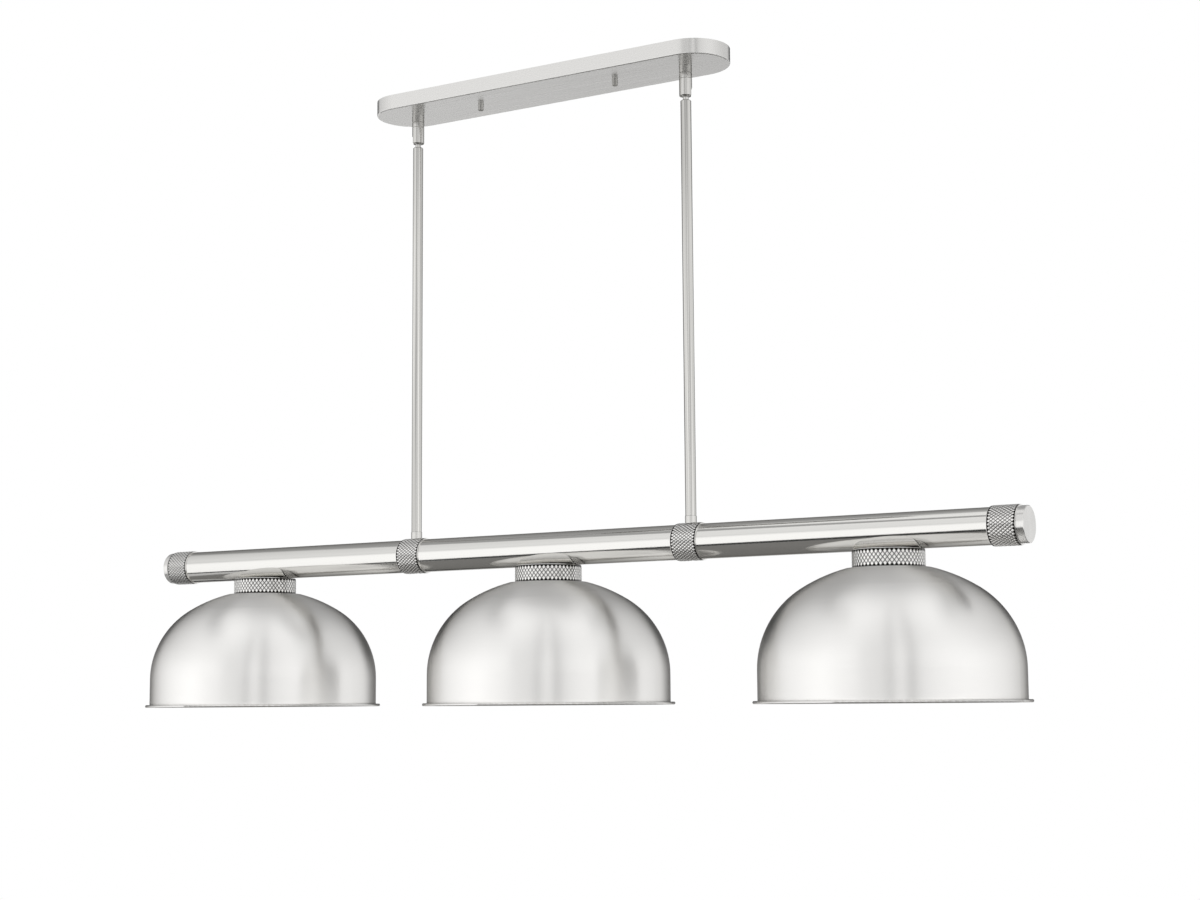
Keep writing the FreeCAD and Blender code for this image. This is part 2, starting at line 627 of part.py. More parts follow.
def make_barrel(side, x, turn):
    # slotted barrel: spigot bore above, ball seat at the foot, slot towards its own +X
    body = new_body("swivel_barrel_" + side)
    bore, outer = "barrel_bore / 2", "swivel_od / 2"
    seat_foot = "sqrt((barrel_bore / 2) ^ 2 - ball_rise ^ 2)"
    groove_top = "barrel_length - clip_drop + clip_side_gap"
    groove_low = "barrel_length - clip_drop - clip_thick - clip_side_gap"
    groove = "spigot_radius + clip_reach + clip_side_gap"
    line = "barrel_length * (1 - barrel_line_share)"
    turn_profile(body, "swivel_barrel_" + side, [
        (bore, "barrel_length"), (bore, groove_top), (groove, groove_top), (groove, groove_low),
        (bore, groove_low), (bore, "ball_rise"), (seat_foot, "0", bore, -1),
        (outer + " - ring_edge", "0"), (outer, "ring_edge"), (outer, line + " - line_width / 2"),
        (outer + " - line_depth", line), (outer, line + " + line_width / 2"),
        (outer, "barrel_length - ring_edge"), (outer + " - ring_edge", "barrel_length"),
    ])
    half = "slot_width / 2"
    crown = "slot_height - slot_width / 2"
    slot = outline(new_sketch(body, "tilt_slot_" + side, "YZ_Plane"), [
        (half, "-overrun"), (half, crown), ("0", "slot_height", half, 1), (f"-{half}", crown, half, 1),
        (f"-{half}", "-overrun"),
    ])
    pocket(body, slot, "swivel_od", forward=True)
    cut_stop_groove(body, side)
    body.Placement.Rotation = FreeCAD.Rotation(vector(0, 0, 1), size(turn))
    body.setExpression("Placement.Rotation.Angle", cells(turn))
    keep(place(body, x=x, z="barrel_low"), "swivel_barrel_" + side)


def cut_stop_groove(body, side):
    # round the top face for all but the land, which is opposite the slot
    before = body.Shape.Volume
    near = "(stop_circle - stop_groove_width) / 2"
    far = "(stop_circle + stop_groove_width) / 2"
    low = "barrel_length - stop_groove_depth"
    sketch = outline(new_sketch(body, "stop_groove_" + side, "XZ_Plane"), [
        (near, low), (far, low), (far, "barrel_length + overrun"), (near, "barrel_length + overrun"),
    ])
    groove = body.newObject("PartDesign::Groove", "stop_groove_cut_" + side)
    groove.Profile = sketch
    groove.ReferenceAxis = (sketch, ["V_Axis"])
    groove.Midplane = True
    bind(groove, Angle="360 - stop_land_angle")
    doc.recompute()
    if body.Shape.Volume >= before:
        raise ValueError(groove.Name + " cuts nothing")


def make_ball_stud(side, x):
    # ball, neck and threaded tail, bored for the wires; its own zero is the ball's centre
    ball = "ball_od / 2"
    neck = "neck_od / 2"
    neck_z = "-sqrt((ball_od / 2) ^ 2 - (neck_od / 2) ^ 2)"
    rod_z = "-(ball_rise + rod_gap)"
    bore = "stud_bore / 2"
    bore_z = "sqrt((ball_od / 2) ^ 2 - (stud_bore / 2) ^ 2)"
    body = turned("ball_stud_" + side, [
        (bore, bore_z), (ball, "0", ball, -1), (neck, neck_z, ball, -1), (neck, rod_z),
        ("nipple_od / 2", rod_z), ("nipple_od / 2", rod_z + " - stud_tail"),
        (bore, rod_z + " - stud_tail"),
    ])
    keep(place(body, x=x, z="ball_level"), "ball_stud_" + side)


def make_rod(side, x):
    body = turned("rod_" + side, [
        ("hole_radius", "rod_top"), ("hole_radius", "rod_low"), ("rod_od / 2", "rod_low"),
        ("rod_od / 2", "rod_top - rod_edge"), ("rod_od / 2 - rod_edge", "rod_top"),
    ])
    keep(place(body, x=x), "rod_" + side)


def make_ferrule(side, x):
    # stands on the collar, so its foot is hollowed to the collar's round
    body = new_body("rod_ferrule_" + side)
    turn_profile(body, "rod_ferrule_" + side, [
        ("hole_radius", "rod_low"), ("hole_radius", "bar_axis"), ("ferrule_od / 2", "bar_axis"),
        ("ferrule_od / 2", "rod_low - ring_edge"), ("ferrule_od / 2 - ring_edge", "rod_low"),
    ])
    round_foot = circles(new_sketch(body, "ferrule_foot_" + side, "YZ_Plane"), [("0", "bar_axis")],
                         "collar_od / 2")
    pocket(body, round_foot, "ferrule_od + 2 * overrun", middle=True)
    keep(place(body, x=x), "rod_ferrule_" + side)


def make_rod_feet():
    nipples, nuts, washers = [], [], []
    for side, x, _ in swivels:
        length = "rod_low + rod_hold - bar_axis - nipple_end"
        nipples.append(tube("rod_nipple_" + side, "nipple_od / 2", "nipple_bore / 2", length,
                            x=x, z="bar_axis + nipple_end"))
        nuts.append(hex_nut("rod_nut_" + side, x=x, z="bar_axis + saddle_face - nut_thick"))
        washers.append(saddle_washer("rod_washer_" + side, x, True))
    group("rod_nipples", nipples)
    group("rod_nuts", nuts)
    group("rod_saddle_washers", washers)


def collar_profile(width, left):
    # a sleeve along X from left, for turning about the tube's axis
    right = f"{left} + {width}"
    outer = "collar_od / 2"
    return [
        (left, "bar_od / 2 + collar_gap"), (left, outer + " - collar_edge"),
        (f"{left} + collar_edge", outer), (f"{right} - collar_edge", outer),
        (right, outer + " - collar_edge"), (right, "bar_od / 2 + collar_gap"),
    ]


def make_rod_collar(side, x):
    body = new_body("rod_collar_" + side)
    profile = collar_profile("rod_collar_width", "-rod_collar_width / 2")
    turn_profile(body, "rod_collar_" + side, profile, "H_Axis")
    hole = circles(new_sketch(body, "rod_collar_hole_" + side, "XY_Plane"), [("0", "0")], "hole_radius")
    pocket(body, hole, "collar_od", forward=True)
    keep(place(body, x=x, z="bar_axis"), "rod_collar_" + side)


def make_end_collar(side, left):
    body = turned("end_collar_" + side, collar_profile("end_collar_width", "0"), "H_Axis")
    keep(place(body, x=left, z="bar_axis"), "end_collar_" + side)


def make_end_cap(side, sign, x):
    # hollow turned cap, its spigot inside the tube; sign points out of the tube
    outer, inner = "bar_od / 2", "bar_inner - collar_gap"
    points = [
        ("cap_length", "0"), ("cap_length", outer + " - cap_edge"), ("cap_length - cap_edge", outer),
        ("0", outer), ("0", inner), ("-cap_spigot", inner), ("-cap_spigot", inner + " - cap_wall"),
        ("cap_length - cap_wall", inner + " - cap_wall"), ("cap_length - cap_wall", "0"),
    ]
    if sign < 0:
        points = [(f"-({along})", radius) for along, radius in points]
    body = turned("end_cap_" + side, points, "H_Axis")
    keep(place(body, x=x, z="bar_axis"), "end_cap_" + side)


def make_bar():
    body = new_body("bar")
    ring = new_sketch(body, "bar_section", "YZ_Plane")
    circles(ring, [("0", "0")], "bar_od / 2")
    circles(ring, [("0", "0")], "bar_inner")
    pad(body, ring, "2 * tube_end", middle=True)
    rods = circles(new_sketch(body, "bar_rod_holes", "XY_Plane"),
                   [("-rod_x", "0"), ("rod_x", "0")], "hole_radius")
    pocket(body, rods, "bar_od", forward=True)
    heads = circles(new_sketch(body, "bar_holder_holes", "XY_Plane"),
                    [(x, "0") for _, x in heads_at], "hole_radius")
    pocket(body, heads, "bar_od")
    keep(place(body, z="bar_axis"), "bar_tube")


def make_holder(side, x):
    # cup over the shade's flat top; the tube lies in a shallow saddle in its roof
    body = new_body("shade_holder_" + side)
    outer, top = "holder_od / 2", "holder_height + holder_lap"
    roof = "holder_height - holder_roof"
    inner = "holder_od / 2 - holder_wall"
    turn_profile(body, "shade_holder_" + side, [
        ("hole_radius", roof), ("hole_radius", top), (outer + " - holder_edge", top),
        (outer, top + " - holder_edge"), (outer, "holder_foot"), (outer + " - holder_foot", "0"),
        (inner, "0"), (inner, roof),
    ])
    saddle = circles(new_sketch(body, "holder_saddle_" + side, "YZ_Plane"),
                     [("0", "holder_height + bar_od / 2")], "bar_od / 2")
    pocket(body, saddle, "holder_od + 2 * overrun", middle=True)
    keep(place(body, x=x, z="seat_top"), "shade_holder_" + side)


def make_shade(side, x):
    # spun dome: flat top, crown arc, shoulder arc, straight wall, flare and rolled rim;
    # its own zero is the rim's lowest point
    wall, inner = "shade_od / 2", "shade_od / 2 - shade_wall"
    hole = "nipple_od / 2 + shade_hole_gap"
    wider = "flare_radius + shade_wall"
    body = turned("shade_" + side, [
        (hole, "shade_height - shade_wall"), (hole, "shade_height"),
        ("shade_seat_od / 2", "shade_height"),
        ("haunch_x", "haunch_z", "crown_radius", -1),
        (wall, "wall_top", "shoulder_radius", -1),
        (wall, "flange_top + flare_radius"),
        (wall + " + flare_radius", "flange_top", "flare_radius", 1),
        ("bead_root", "flange_top"),
        ("bead_x", "bead_od", "bead_od / 2", -1), ("rim_od / 2", "bead_od / 2", "bead_od / 2", -1),
        ("bead_x", "0", "bead_od / 2", -1), ("bead_root", "flange_low", "bead_od / 2", -1),
        (f"{inner} + {wider}", "flange_low"),
        (inner, f"flange_low + {wider}", wider, -1),
        (inner, "wall_top"),
        ("inner_haunch_x", "inner_haunch_z", "shoulder_radius - shade_wall", 1),
        ("inner_seat_x", "shade_height - shade_wall", "inner_crown", 1),
    ])
    keep(place(body, x=x, z="seat_top - shade_height"), "shade_" + side)


def make_head_fixings():
    nipples, nuts, saddles, washers, clamps = [], [], [], [], []
    for side, x in heads_at:
        low = "husk_top - husk_wall"
        nipples.append(tube("head_nipple_" + side, "nipple_od / 2", "nipple_bore / 2",
                            f"bar_axis - nipple_end - ({low})", x=x, z=low))
        nuts.append(hex_nut("head_nut_" + side, x=x, z="bar_axis - saddle_face"))
        saddles.append(saddle_washer("head_washer_" + side, x, False))
        washers.append(tube("clamp_washer_" + side, "clamp_washer_od / 2", "hole_radius",
                            "clamp_washer_thick", x=x, z="seat_top - shade_wall - clamp_washer_thick"))
        clamps.append(hex_nut("clamp_nut_" + side, x=x, z="husk_top"))
    group("head_nipples", nipples)
    group("head_nuts", nuts)
    group("head_saddle_washers", saddles)
    group("shade_washers", washers)
    group("shade_nuts", clamps)


def make_husk(side, x):
    outer, inner = "husk_od / 2", "husk_od / 2 - husk_wall"
    body = turned("socket_husk_" + side, [
        ("hole_radius", "0"), (outer + " - husk_edge", "0"), (outer, "-husk_edge"),
        (outer, "-husk_length"), (inner, "-husk_length"), (inner, "-husk_edge - husk_wall"),
        (inner + " - husk_edge", "-husk_wall"), ("hole_radius", "-husk_wall"),
    ])
    keep(place(body, x=x, z="husk_top"), "socket_husk_" + side)


def make_insulator(side, x):
    outer = "husk_od / 2 - husk_wall"
    body = turned("socket_insulator_" + side, [
        ("0", "insulator_top"), (outer, "insulator_top"), (outer, "insulator_low"),
        ("socket_bore / 2", "insulator_low"), ("socket_bore / 2", "socket_roof"), ("0", "socket_roof"),
    ])
    keep(place(body, x=x), "socket_insulator_" + side)


def make_contacts():
    shells, contacts = [], []
    for side, x in heads_at:
        shells.append(tube("screw_shell_" + side, "socket_bore / 2", "socket_bore / 2 - shell_wall",
                           "shell_length", x=x, z="socket_roof - contact_thick * 2 - shell_length"))
        contacts.append(cylinder("contact_" + side, "contact_od / 2", "contact_thick",
                                 x=x, z="socket_roof - contact_thick"))
    group("screw_shells", shells)
    group("centre_contacts", contacts)


def make_bulb(side, x):
    # its own zero is the solder tip, and the globe hangs below
    base, neck = "base_od / 2", "bulb_neck_od / 2"
    hold = "base_hold - base_length"
    screw = turned("bulb_base_" + side, [
        ("0", "0"), ("tip_od / 2", "0"), ("tip_od / 2", "-tip_height"),
        (base, "-tip_height - tip_cone"), (base, "-base_length"), (neck, "-base_length"),
        (neck, hold), ("0", hold),
    ])
    keep(place(screw, x=x, z="bulb_top"), "bulb_base_" + side)
    ball, flank = "bulb_od / 2", "flank_radius"
    thin = "bulb_od / 2 - bulb_glass"
    angle = "bulb_flank_angle"
    globe = turned("bulb_globe_" + side, [
        ("0", "-bulb_length"),
        (f"{ball} * cos({angle})", f"globe_level + {ball} * sin({angle})", ball, 1),
        (neck, "-bulb_neck_start", flank, -1),
        (neck, hold), (neck + " - bulb_glass", hold), (neck + " - bulb_glass", "flank_inner_z"),
        (f"({thin}) * cos({angle})", f"globe_level + ({thin}) * sin({angle})", flank + " + bulb_glass", 1),
        ("0", "bulb_glass - bulb_length", thin, -1),
    ])
    keep(place(globe, x=x, z="bulb_top"), "bulb_globe_" + side)


def bent_tube(name, corners, width, bend):
    # straight runs joined by arcs, swept with a round section
    points = [vector(*(size(text) for text in corner)) for corner in corners]
    radius = size(bend)
    edges = []
    last = points[0]
    for number in range(1, len(points) - 1):
        before = (points[number - 1] - points[number]).normalize()
        after = (points[number + 1] - points[number]).normalize()
        turn = math.pi - before.getAngle(after)
        reach = radius * math.tan(turn / 2)
        start, end = points[number] + before * reach, points[number] + after * reach
        inward = (before + after).normalize()
        depth = radius / math.cos(turn / 2) - radius
        edges.append(Part.LineSegment(last, start).toShape())
        edges.append(Part.Arc(start, points[number] + inward * depth, end).toShape())
        last = end
    edges.append(Part.LineSegment(last, points[-1]).toShape())
    path = Part.Wire(edges)
    section = Part.Wire([Part.makeCircle(size(width) / 2, points[0], points[1] - points[0])])
    shape = path.makePipeShell([section], True, False)
    area = math.pi * (size(width) / 2) ** 2
    print(name, "volume over section times length", round(shape.Volume / (area * path.Length), 5))
    made = doc.addObject("Part::Feature", name)
    made.Shape = shape
    return made


def head_lead(side, x, steps):
    # from the top of the insulator up into the tube, then along it
    start = [(x, "0", "insulator_top"), (x, "0", "bar_axis")]
    return bent_tube("lead_" + side, start + steps, "lead_od", "lead_bend")


def make_bar_leads():
    aside, near = "-lead_offset", "-lead_pair_offset"
    leads = [
        head_lead("left", "-shade_spacing", [
            ("lead_shift - shade_spacing", aside, "bar_axis"),
            ("splice_left - splice_offset * 2", aside, "bar_axis"),
            ("splice_left - splice_length / 4", near, "bar_axis"), ("splice_left", near, "bar_axis"),
        ]),
        head_lead("middle", "0", [
            ("-lead_shift", "lead_pair_offset", "bar_axis"),
            ("splice_right", "lead_pair_offset", "bar_axis"),
        ]),
        head_lead("right", "shade_spacing", [
            ("shade_spacing - lead_shift", aside, "bar_axis"), ("-lead_shift", aside, "bar_axis"),
            ("splice_right + splice_length / 2", near, "bar_axis"), ("splice_right", near, "bar_axis"),
        ]),
    ]
    group("bar_leads", leads)
    splice = turned("bar_splice", [
        ("0", "0"), ("0", "splice_od / 2"), ("splice_length", "splice_od / 2"), ("splice_length", "0"),
    ], "H_Axis")
    keep(place(splice, x="splice_left", z="bar_axis"), "bar_splice")


def make_rod_lead():
    # up the left rod and through the ball stud
    lead = bent_tube("rod_lead_tube", [
        ("splice_left", "lead_pair_offset", "bar_axis"),
        ("splice_left - splice_offset / 4", "lead_pair_offset", "bar_axis"), ("-rod_x", "0", "bar_axis"),
        ("-rod_x", "0", "ball_level + ball_od / 2 + lead_split"),
    ], "lead_od", "lead_bend")
    keep(lead, "rod_lead")


def make_canopy_leads():
    # the sleeve ends at the nipple's top and its two wires go on to their connectors
    start = "ball_level + ball_od / 2 + lead_split * 2"
    sleeve = cylinder("canopy_sleeve", "lead_od / 2", f"canopy_nipple_top - ({start})",
                      x="-rod_x", z=start)
    items = [sleeve]
    for name, sign in (("line", "-"), ("neutral", "")):
        items.append(bent_tube("wire_" + name, [
            ("-rod_x", f"{sign}wire_pair_offset", "canopy_nipple_top"),
            ("-rod_x", f"{sign}wire_pair_offset", "wire_top"),
            ("-rod_x + strap_width", f"{sign}connector_y", "wire_top"),
            ("-connector_x - connector_length", f"{sign}connector_y", "-wire_level"),
            ("-connector_x", f"{sign}connector_y", "-wire_level"),
        ], "wire_od", "wire_bend"))
    items.append(bent_tube("wire_ground", [
        ("ground_screw_x", "0", "-strap_thick - ground_head_height"),
        ("ground_screw_x", "0", "-wire_level"),
        ("ground_screw_x - ground_reach", "0", "-wire_level"),
    ], "wire_od", "wire_bend"))
    group("canopy_leads", items)


def make_connector(name, x, y, sign):
    # cone with its open end at x; sign says which way its closed end points
    far = f"{sign}connector_length"
    body = turned(name, [("0", "0"), ("0", "connector_mouth / 2"), (far, "connector_tip / 2"), (far, "0")],
                  "H_Axis")
    return place(body, x=x, y=y, z="-wire_level")


def make_connectors():
    group("wire_connectors", [
        make_connector("connector_line", "-connector_x", "-connector_y", ""),
        make_connector("connector_neutral", "-connector_x", "connector_y", ""),
        make_connector("connector_ground", "ground_screw_x - ground_reach", "0", "-"),
    ])


def check_and_write():
    doc.recompute()
    for item in doc.Objects:
        if "Invalid" in item.State or "Error" in item.State:
            raise ValueError(f"{item.Label} did not build: {item.State}")
    for item in nodes:
        if item.Shape.isNull() or not item.Shape.isValid() or not item.Shape.Solids:
            raise ValueError(item.Label + " is not a valid solid")
    for item in nodes:
        item.Shape.exportStep(f"parts/{item.Label}.step")
    print(len(nodes), "sub-parts written")


swivels = [("left", "-rod_x", "slot_turn_left"), ("right", "rod_x", "slot_turn_right")]
heads_at = [("left", "-shade_spacing"), ("middle", "0"), ("right", "shade_spacing")]

fill_sheet()
make_strap()
make_studs()
make_ground_screw()
make_canopy()
make_canopy_fixings()
make_cap_nut("left", "-stud_x")
make_cap_nut("right", "stud_x")
for side, x, turn in swivels:
    make_swivel_ring(side, x, turn)
    make_barrel(side, x, turn)
    make_ball_stud(side, x)
    make_rod(side, x)
    make_ferrule(side, x)
    make_rod_collar(side, x)
make_clips()
make_rod_feet()
make_bar()
make_end_collar("left", "-tube_end")
make_end_collar("right", "tube_end - end_collar_width")
make_end_cap("left", -1, "-tube_end")
make_end_cap("right", 1, "tube_end")
for side, x in heads_at:
    make_holder(side, x)
    make_shade(side, x)
    make_husk(side, x)
    make_insulator(side, x)
    make_bulb(side, x)
make_head_fixings()
make_contacts()
make_bar_leads()
make_rod_lead()
make_canopy_leads()
make_connectors()
check_and_write()
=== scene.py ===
import math
import bmesh
import bpy
from mathutils import Matrix, Vector


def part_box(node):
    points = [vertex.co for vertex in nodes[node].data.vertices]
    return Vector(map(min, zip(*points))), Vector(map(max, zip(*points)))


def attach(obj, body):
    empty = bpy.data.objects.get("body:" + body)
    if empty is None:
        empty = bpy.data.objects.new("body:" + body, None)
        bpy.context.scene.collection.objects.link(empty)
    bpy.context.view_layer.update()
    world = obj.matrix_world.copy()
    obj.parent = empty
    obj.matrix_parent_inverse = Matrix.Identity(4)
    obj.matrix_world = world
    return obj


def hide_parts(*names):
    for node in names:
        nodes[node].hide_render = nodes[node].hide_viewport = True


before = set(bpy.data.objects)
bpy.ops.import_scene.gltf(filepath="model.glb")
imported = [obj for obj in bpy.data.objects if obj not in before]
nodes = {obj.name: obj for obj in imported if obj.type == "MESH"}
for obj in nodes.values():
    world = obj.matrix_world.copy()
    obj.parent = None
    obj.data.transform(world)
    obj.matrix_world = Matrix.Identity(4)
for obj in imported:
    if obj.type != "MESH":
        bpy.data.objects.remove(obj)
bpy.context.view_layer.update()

# Three-shade billiard light in brushed nickel. Metres, z = 0 is the ceiling, the tube runs along X.
mm = 0.001
tiny = 1e-6   # metres, for comparing places
sides = {"left": -1, "right": 1}
heads = {"left": -1, "middle": 0, "right": 1}
lengthwise = Vector((1, 0, 0))
upright = Vector((0, 0, 1))


def middleX(node):
    low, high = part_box(node)
    return (low.x + high.x) / 2


spacing = middleX("shade_right")
rodX = middleX("rod_right")
barLow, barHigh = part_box("bar_tube")
barZ = (barLow.z + barHigh.z) / 2
barRadius = (barHigh.z - barLow.z) / 2


def linear(code):
    # sRGB hex code to a linear colour
    parts = [int(code[i:i + 2], 16) / 255 for i in (1, 3, 5)]
    return [p / 12.92 if p <= 0.04045 else ((p + 0.055) / 1.055) ** 2.4 for p in parts] + [1.0]


def plug(tree, node, sockets):
    # fixed values go on the node's own sockets, the rest are links
    for key, value in sockets.items():
        if isinstance(value, bpy.types.NodeSocket):
            tree.links.new(value, node.inputs[key])
        else:
            node.inputs[key].default_value = value


def addNode(tree, kind, sockets=None, stops=None, **settings):
    # one node with its settings, its inputs, its links and any ramp stops as (position, colour);
    # inputs that share a name are given by number: a Mix node's colours are 6 and 7, its vectors 4 and 5
    node = tree.nodes.new(kind)
    for key, value in settings.items():
        setattr(node, key, value)
    plug(tree, node, sockets or {})
    for index, (position, colour) in enumerate(stops or []):
        elements = node.color_ramp.elements
        element = elements[index] if index < 2 else elements.new(position)
        element.position = position
        element.color = linear(colour) if isinstance(colour, str) else [colour] * 3 + [1.0]
    return node


def newMaterial(name, colour, **fixed):
    # a material with its shader, whose constant numbers sit on the shader itself
    material = bpy.data.materials.new(name)
    material.use_nodes = True
    tree = material.node_tree
    shader = tree.nodes["Principled BSDF"]
    shader.inputs["Base Color"].default_value = linear(colour)
    for key, value in fixed.items():
        shader.inputs[key.replace("_", " ")].default_value = value
    return material, tree, shader


# lines in the nickel: gap across and length along, their noise and how much of it the gloss follows,
# and how far tone, gloss and relief swing; real lines are 0.1 mm apart, drawn coarser so that they show
brushing = {"lineGap": 2.2 * mm, "streak": 240 * mm, "detail": 2.0, "broken": 0.55, "from": 0.3, "to": 0.7,
            "colourSwing": 0.012, "roughSwing": 0.018, "bump": 0.012, "relief": 0.2 * mm, "roundScale": 2.5}
# on the rods the lines swing far in tone: partly drawing marks, partly painted reflection bands
drawnLinesWithPaintedBands = {**brushing, "lineGap": 3.0 * mm, "streak": 600 * mm, "colourSwing": 0.8, "roughSwing": 0.03}


def brushLines(tree, shader, vector, finish, lay):
    # fine lines in tone, gloss and relief
    lines = addNode(tree, "ShaderNodeTexNoise", {
        "Vector": vector, "Scale": 1.0, "Detail": lay["detail"], "Roughness": lay["broken"]})
    dark, light = [[min(1.0, part * (1 + swing)) for part in linear(finish["colour"])[:3]] + [1.0]
                   for swing in (-lay["colourSwing"], lay["colourSwing"])]
    tone = addNode(tree, "ShaderNodeMix", {"Factor": lines.outputs["Fac"], 6: dark, 7: light},
                   data_type="RGBA")
    gloss = addNode(tree, "ShaderNodeMapRange", {
        "Value": lines.outputs["Fac"], "From Min": lay["from"], "From Max": lay["to"],
        "To Min": finish["roughness"] - lay["roughSwing"], "To Max": finish["roughness"] + lay["roughSwing"]})
    relief = addNode(tree, "ShaderNodeBump", {
        "Height": lines.outputs["Fac"], "Strength": lay["bump"], "Distance": lay["relief"]})
    plug(tree, shader, {"Base Color": tone.outputs[2], "Roughness": gloss.outputs["Result"],
                        "Normal": relief.outputs["Normal"]})


def alongAxis(tree, axis, lay):
    # lines along an axis: long in its direction, fine across it
    place = addNode(tree, "ShaderNodeTexCoord")
    scale = [1 / (lay["streak"] if letter == axis else lay["lineGap"]) for letter in "XYZ"]
    return addNode(tree, "ShaderNodeMapping", {
        "Vector": place.outputs["Object"], "Scale": scale}).outputs["Vector"]


def roundAxis(tree, axis, centre, lay):
    # lines round an axis: a unit circle keeps them closed, and height less radius runs up the profile
    place = addNode(tree, "ShaderNodeTexCoord")
    moved = addNode(tree, "ShaderNodeVectorMath", {0: place.outputs["Object"], 1: centre},
                    operation="SUBTRACT")
    parts = addNode(tree, "ShaderNodeSeparateXYZ", {"Vector": moved.outputs["Vector"]})
    first, second = [parts.outputs[letter] for letter in "XYZ" if letter != axis]
    flat = addNode(tree, "ShaderNodeCombineXYZ", {"X": first, "Y": second})
    radius = addNode(tree, "ShaderNodeVectorMath", {0: flat.outputs["Vector"]}, operation="LENGTH")
    circle = addNode(tree, "ShaderNodeVectorMath", {0: flat.outputs["Vector"]}, operation="NORMALIZE")
    profile = addNode(tree, "ShaderNodeMath", {0: parts.outputs[axis], 1: radius.outputs["Value"]},
                      operation="SUBTRACT")
    fine = addNode(tree, "ShaderNodeMath", {0: profile.outputs["Value"], 1: 1 / lay["lineGap"]},
                   operation="MULTIPLY")
    lift = addNode(tree, "ShaderNodeCombineXYZ", {"Z": fine.outputs["Value"]})
    return addNode(tree, "ShaderNodeVectorMath", {
        0: circle.outputs["Vector"], 1: [lay["roundScale"]] * 3, 2: lift.outputs["Vector"]},
        operation="MULTIPLY_ADD").outputs["Vector"]


# nickel reflects less just before the grazing angle, which outlines each piece, the thin ones most
noRim, softRim, darkRim = linear("#FFFFFF"), linear("#A8A7A5"), linear("#454442")
quarter = 0.25   # of a turn: reflections smear up the profile, across lines that run round it

# spread is how far reflections smear, turn is the way they do; the colours are painted light and painted
# shade: one nickel plating set lighter or darker part by part to match the light each part catches, brightest
# on the shades and darkest on the rods and turned parts
canopy = {"colour": "#D8D7D5", "roughness": 0.27, "spread": 0.6, "turn": 0.0, "rim": noRim}
spun = {"colour": "#F7F6F4", "roughness": 0.34, "spread": 0.8, "turn": quarter, "rim": softRim}
bar = {"colour": "#E1E0DD", "roughness": 0.10, "spread": 0.2, "turn": 0.0, "rim": softRim}
rod = {"colour": "#C4C3C0", "roughness": 0.08, "spread": 0.3, "turn": 0.0, "rim": darkRim}
turned = {"colour": "#CDCCC9", "roughness": 0.13, "spread": 0.3, "turn": quarter, "rim": darkRim}
cap = {"colour": "#DEDDDB", "roughness": 0.24, "spread": 0.7, "turn": quarter, "rim": noRim}


def makeNickel(name, finish, axis, centre=None, lay=brushing):
    # nickel plate with its lines round an axis through the centre, or along the axis without one
    material, tree, shader = newMaterial(name, finish["colour"], Metallic=1.0, Anisotropic=finish["spread"],
                                         Anisotropic_Rotation=finish["turn"], Specular_Tint=finish["rim"])
    vector = roundAxis(tree, axis, centre, lay) if centre else alongAxis(tree, axis, lay)
    brushLines(tree, shader, vector, finish, lay)
    tangent = addNode(tree, "ShaderNodeTangent", direction_type="RADIAL", axis=axis)
    plug(tree, shader, {"Tangent": tangent.outputs["Tangent"]})
    return material


# spun steel shades, brushed round while they turned: soft streaks of light up the dome
spunNickel = {head: makeNickel("brushedNickelSpun" + head.title(), spun, "Z", (heads[head] * spacing, 0, 0))
              for head in heads}
# steel tube polished along its length: sharp bands of light, a little soft across
barNickel = makeNickel("polishedNickelBar", bar, "X")
# rods drawn lengthwise: unbroken lighter and darker lines from end to end, partly drawing marks and partly
# painted reflection bands
rodNickel = makeNickel("drawnNickelRod", rod, "Z", lay=drawnLinesWithPaintedBands)
# rings, barrels and nuts turned on a lathe: fine rings across a narrow upright highlight
turnedNickel = {side: makeNickel("turnedNickel" + side.title(), turned, "Z", (sides[side] * rodX, 0, 0))
                for side in sides}
# end caps faced on a lathe: a soft fan of light on the flat end
capNickel = makeNickel("turnedNickelCap", cap, "X", (0, 0, barZ))


def makeCanopyNickel():
    # pressed plate brushed along the canopy and on round its ends: a broad soft sheen across the lines,
    # for which the tangent and its turn change from the upright sides to the level underside
    material = makeNickel("brushedNickelCanopy", canopy, "X")
    tree = material.node_tree
    shader = tree.nodes["Principled BSDF"]
    underside = shader.inputs["Tangent"].links[0].from_socket
    upSides = addNode(tree, "ShaderNodeTangent", direction_type="RADIAL", axis="Z").outputs["Tangent"]
    facing = addNode(tree, "ShaderNodeNewGeometry")
    parts = addNode(tree, "ShaderNodeSeparateXYZ", {"Vector": facing.outputs["Normal"]})
    level = addNode(tree, "ShaderNodeMath", {0: parts.outputs["Z"]}, operation="ABSOLUTE")
    tangent = addNode(tree, "ShaderNodeMix", {"Factor": level.outputs["Value"], 4: upSides, 5: underside},
                      data_type="VECTOR")
    turn = addNode(tree, "ShaderNodeMapRange", {
        "Value": level.outputs["Value"], "To Min": quarter, "To Max": canopy["turn"]})
    plug(tree, shader, {"Tangent": tangent.outputs[1], "Anisotropic Rotation": turn.outputs["Result"]})
    return material


canopyNickel = makeCanopyNickel()

# tones from groove to point, the dark groove tones being painted shade, and the roughness of both
knurled = {"colour": "#D6D5D3", "groove": 0.34, "point": 0.2,
           "tones": [(0.0, "#22211F"), (0.1, "#4C4B49"), (0.26, "#E4E3E1"), (1.0, "#FBFAF8")]}


